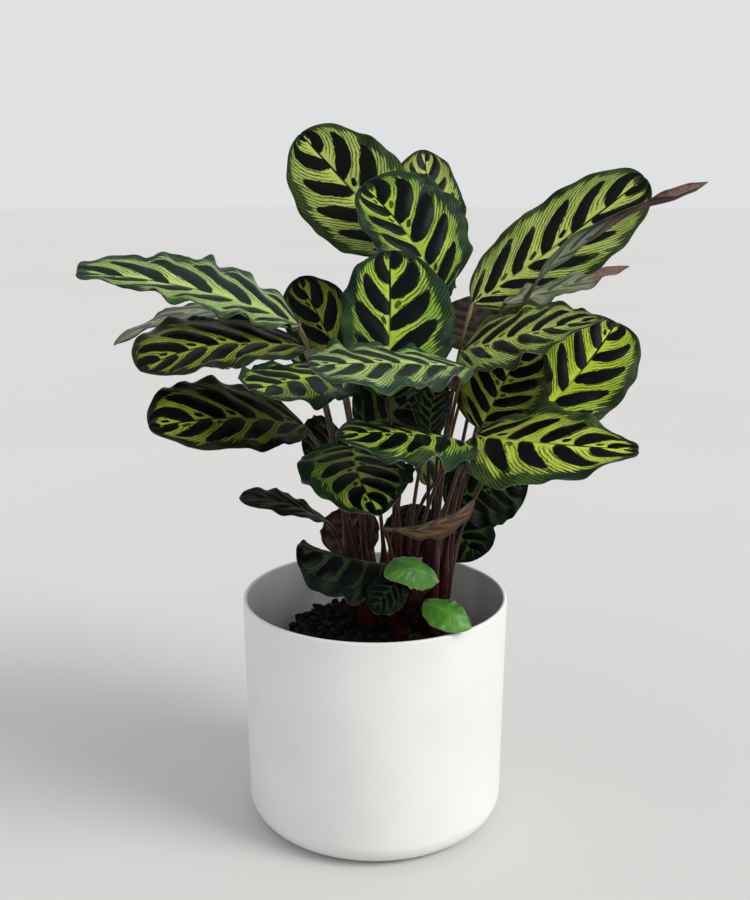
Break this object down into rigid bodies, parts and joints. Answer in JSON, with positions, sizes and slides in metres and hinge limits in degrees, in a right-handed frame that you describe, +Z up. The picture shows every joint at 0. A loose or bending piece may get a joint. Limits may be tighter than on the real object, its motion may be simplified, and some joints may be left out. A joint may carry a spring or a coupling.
{
  "type": "potted calathea house plant",
  "caption": "Bushy calathea with patterned green leaves on long dark red stalks, rising from dark soil in a plain round white cover pot.",
  "frame": {"origin": "middle of the pot's flat underside", "axes": "+Z up along the pot's axis; -Y is the side the plant is seen from, +X is to the right of it"},
  "size_m": [0.382, 0.3031, 0.4704],
  "materials": {
    "pot_white": "satin",
    "soil_dark": "matte",
    "old_stalk_pink": "matte",
    "stalk_dark_red": "satin",
    "blade_green": "satin",
    "young_blade_green": "satin"
  },
  "bodies": {
    "root": {"pot": "pot_white", "soil": "soil_dark", "old_stalk": "old_stalk_pink", "stems_middle": "stalk_dark_red", "stems_right": "stalk_dark_red", "stems_back_right": "stalk_dark_red", "stems_back": "stalk_dark_red", "stems_back_left": "stalk_dark_red", "stems_left": "stalk_dark_red", "stems_front_left": "stalk_dark_red", "stems_front": "stalk_dark_red", "stems_front_right": "stalk_dark_red", "blade_top_back": "blade_green", "blade_top_hidden": "blade_green", "blade_top_front": "blade_green", "blade_centre": "blade_green", "blade_front_pale": "blade_green", "blade_left_long": "blade_green", "blade_left_upright": "blade_green", "blade_left_grey": "blade_green", "blade_left_dark": "blade_green", "blade_left_low": "blade_green", "blade_left_inner": "blade_green", "blade_right_top": "blade_green", "blade_right_rolled": "blade_green", "blade_right_edge": "blade_green", "blade_right_upper": "blade_green", "blade_right_face": "blade_green", "blade_right_front": "blade_green", "blade_front_low": "blade_green", "blade_front_tip": "blade_green", "blade_left_shelf": "blade_green", "blade_rim_left": "blade_green", "blade_rim_small": "blade_green", "blade_young_upper": "young_blade_green", "blade_young_lower": "young_blade_green", "blade_right_back_low": "blade_green", "blade_right_hang": "blade_green", "blade_front_rolled": "blade_green", "blade_right_inner": "blade_green", "blade_back_brown": "blade_green", "blade_back_dark": "blade_green", "blade_centre_low": "blade_green", "blade_centre_slim": "blade_green", "blade_left_olive": "blade_green", "blade_hang_left": "blade_green", "blade_hang_middle": "blade_green", "blade_rear_left": "blade_green", "blade_rear_middle": "blade_green", "blade_rear_right": "blade_green", "blade_rear_low_left": "blade_green", "blade_rear_low_right": "blade_green", "blade_rear_high": "blade_green"}
  },
  "joints": []
}
